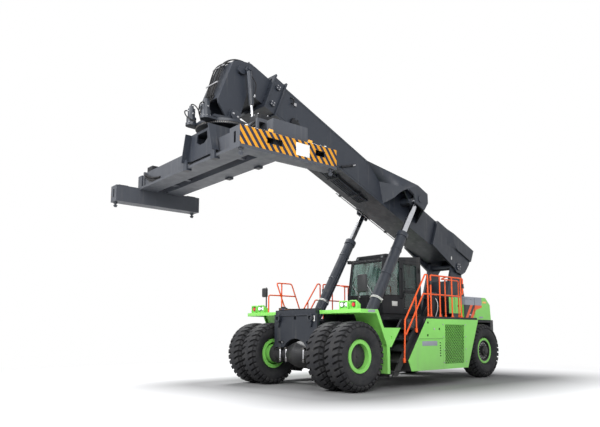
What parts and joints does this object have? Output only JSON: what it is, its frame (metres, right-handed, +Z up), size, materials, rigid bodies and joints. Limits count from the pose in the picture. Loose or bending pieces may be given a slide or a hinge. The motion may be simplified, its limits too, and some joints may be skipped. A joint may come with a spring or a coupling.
{
  "type": "reach stacker",
  "caption": "Container handling truck with a luffing telescopic boom, side lift cylinders, a central cab and a hanging spreader that turns, shifts sideways and lengthens.",
  "frame": {"origin": "on the ground midway between the drive wheels", "axes": "+X forward towards the spreader, +Y to the machine's left, +Z up"},
  "size_m": [11.4088, 6.168, 7.6685],
  "materials": {
    "tyre_rubber": "black tread rubber",
    "rim_green": "gloss paint, bright green",
    "body_green": "gloss paint, bright lime green",
    "rail_orange": "gloss paint, orange",
    "tinted_glass": "green-tinted safety glass",
    "seat_fabric": "dark woven seat cloth",
    "cab_trim": "dark moulded plastic",
    "boom_grey": "satin paint, dark slate grey",
    "chromed_rod": "hard chromed rod",
    "spreader_grey": "satin paint, dark slate grey with warning stripes",
    "cast_metal": "painted cast iron",
    "deck_black": "satin black paint",
    "frame_black": "satin black paint"
  },
  "bodies": {
    "chassis": {"main_frame": "frame_black", "front_bulkhead": "frame_black", "left_fender": "body_green", "right_fender": "body_green", "left_side_box": "body_green", "right_side_box": "body_green", "left_stairs": "deck_black", "right_stairs": "deck_black", "left_deck_rails": "rail_orange", "right_deck_rails": "rail_orange", "deck": "deck_black", "drive_axle": "frame_black", "steer_axle": "frame_black", "engine": "cast_metal", "counterweight": "frame_black", "rear_hood": "body_green", "filter_boxes": "body_green", "boom_tower": "boom_grey", "cab_shell": "frame_black", "cab_glass": "tinted_glass", "driver_seat": "seat_fabric", "cab_controls": "cab_trim"},
    "left_drive_wheels": {"left_outer_drive_tyre": "tyre_rubber", "left_inner_drive_tyre": "tyre_rubber", "left_drive_wheel": "rim_green"},
    "left_knuckle": {"left_steer_knuckle": "frame_black"},
    "left_steer_wheel": {"left_steer_tyre": "tyre_rubber", "left_steer_wheel": "rim_green"},
    "left_door": {"left_cab_door": "frame_black", "left_cab_door_glass": "tinted_glass"},
    "right_drive_wheels": {"right_outer_drive_tyre": "tyre_rubber", "right_inner_drive_tyre": "tyre_rubber", "right_drive_wheel": "rim_green"},
    "right_knuckle": {"right_steer_knuckle": "frame_black"},
    "right_steer_wheel": {"right_steer_tyre": "tyre_rubber", "right_steer_wheel": "rim_green"},
    "right_door": {"right_cab_door": "frame_black", "right_cab_door_glass": "tinted_glass"},
    "outer_boom": {"outer_boom": "boom_grey"},
    "inner_boom": {"inner_boom": "boom_grey"},
    "left_lift_barrel": {"left_lift_barrel": "boom_grey"},
    "left_lift_rod": {"left_lift_rod": "chromed_rod"},
    "right_lift_barrel": {"right_lift_barrel": "boom_grey"},
    "right_lift_rod": {"right_lift_rod": "chromed_rod"},
    "yoke": {"yoke": "boom_grey"},
    "damper_barrels": {"damper_barrels": "boom_grey"},
    "damper_rods": {"damper_rods": "chromed_rod"},
    "carriage": {"rotator_carriage": "boom_grey"},
    "spreader_frame": {"spreader_frame": "boom_grey"},
    "left_end_beam": {"left_end_beam": "spreader_grey"},
    "right_end_beam": {"right_end_beam": "spreader_grey"}
  },
  "joints": [
    {"name": "left_drive_wheel_spin", "type": "hinge", "parent": "chassis", "child": "left_drive_wheels", "pos_m": [0, 1.5, 0.8], "axis": [0, 1, 0], "continuous": true},
    {"name": "left_steering", "type": "hinge", "parent": "chassis", "child": "left_knuckle", "pos_m": [-6.2, 1.06, 0.8], "axis": [0, 0, 1], "range_deg": [-50, 50]},
    {"name": "left_steer_wheel_spin", "type": "hinge", "parent": "left_knuckle", "child": "left_steer_wheel", "pos_m": [-6.2, 1.305, 0.8], "axis": [0, 1, 0], "continuous": true},
    {"name": "left_cab_door_swing", "type": "hinge", "parent": "chassis", "child": "left_door", "pos_m": [-4.162, 0.644, 2.65], "axis": [0, 0, 1], "range_deg": [0, 100]},
    {"name": "right_drive_wheel_spin", "type": "hinge", "parent": "chassis", "child": "right_drive_wheels", "pos_m": [0, -1.5, 0.8], "axis": [0, 1, 0], "continuous": true},
    {"name": "right_steering", "type": "hinge", "parent": "chassis", "child": "right_knuckle", "pos_m": [-6.2, -1.06, 0.8], "axis": [0, 0, 1], "range_deg": [-50, 50]},
    {"name": "right_steer_wheel_spin", "type": "hinge", "parent": "right_knuckle", "child": "right_steer_wheel", "pos_m": [-6.2, -1.305, 0.8], "axis": [0, 1, 0], "continuous": true},
    {"name": "right_cab_door_swing", "type": "hinge", "parent": "chassis", "child": "right_door", "pos_m": [-4.162, -0.644, 2.65], "axis": [0, 0, -1], "range_deg": [0, 100]},
    {"name": "boom_luff", "type": "hinge", "parent": "chassis", "child": "outer_boom", "pos_m": [-6.4, 0, 3.45], "axis": [0, 1, 0], "range_deg": [-36.6, 18]},
    {"name": "boom_extend", "type": "slide", "parent": "outer_boom", "child": "inner_boom", "axis": [0.9278, 0, 0.373], "range_m": [0, 6]},
    {"name": "left_lift_barrel_tilt", "type": "hinge", "parent": "chassis", "child": "left_lift_barrel", "pos_m": [-1.07, 0.976, 1.1], "axis": [0, 1, 0], "range_deg": [-6, 6]},
    {"name": "left_lift_rod_slide", "type": "slide", "parent": "left_lift_barrel", "child": "left_lift_rod", "axis": [-0.5379, 0, 0.843], "range_m": [-1.06, 2.15]},
    {"name": "right_lift_barrel_tilt", "type": "hinge", "parent": "chassis", "child": "right_lift_barrel", "pos_m": [-1.07, -0.976, 1.1], "axis": [0, 1, 0], "range_deg": [-6, 6]},
    {"name": "right_lift_rod_slide", "type": "slide", "parent": "right_lift_barrel", "child": "right_lift_rod", "axis": [-0.5379, 0, 0.843], "range_m": [-1.06, 2.15]},
    {"name": "spreader_swing", "type": "hinge", "parent": "inner_boom", "child": "yoke", "pos_m": [2.4499, 0, 6.2403], "axis": [0, -1, 0], "range_deg": [-40, 20]},
    {"name": "damper_barrel_tilt", "type": "hinge", "parent": "inner_boom", "child": "damper_barrels", "pos_m": [2.1203, 0, 7.4194], "axis": [0, -1, 0], "range_deg": [-8, 8]},
    {"name": "damper_rod_slide", "type": "slide", "parent": "damper_barrels", "child": "damper_rods", "axis": [-0.0983, 0, -0.9952], "range_m": [-0.32, 0.18]},
    {"name": "spreader_rotate", "type": "hinge", "parent": "yoke", "child": "carriage", "pos_m": [2.4499, 0, 6], "axis": [0, 0, -1], "range_deg": [-195, 105]},
    {"name": "spreader_side_shift", "type": "slide", "parent": "carriage", "child": "spreader_frame", "axis": [0.048, 0.9988, 0], "range_m": [-0.3, 1.3]},
    {"name": "left_end_beam_extend", "type": "slide", "parent": "spreader_frame", "child": "left_end_beam", "axis": [0.048, 0.9988, 0], "range_m": [0, 3.067]},
    {"name": "right_end_beam_extend", "type": "slide", "parent": "spreader_frame", "child": "right_end_beam", "axis": [-0.048, -0.9988, 0], "range_m": [0, 3.067]}
  ],
  "couplings": [
    {"joint": "right_steering", "follows": "left_steering", "ratio": 1},
    {"joint": "left_lift_barrel_tilt", "follows": "boom_luff", "ratio": 0.09},
    {"joint": "left_lift_rod_slide", "follows": "boom_luff", "m_per_rad": -3.34},
    {"joint": "right_lift_barrel_tilt", "follows": "boom_luff", "ratio": 0.09},
    {"joint": "right_lift_rod_slide", "follows": "boom_luff", "m_per_rad": -3.34},
    {"joint": "damper_barrel_tilt", "follows": "spreader_swing", "ratio": -0.06},
    {"joint": "damper_rod_slide", "follows": "spreader_swing", "m_per_rad": 0.428},
    {"joint": "right_end_beam_extend", "follows": "left_end_beam_extend", "ratio": 1}
  ]
}
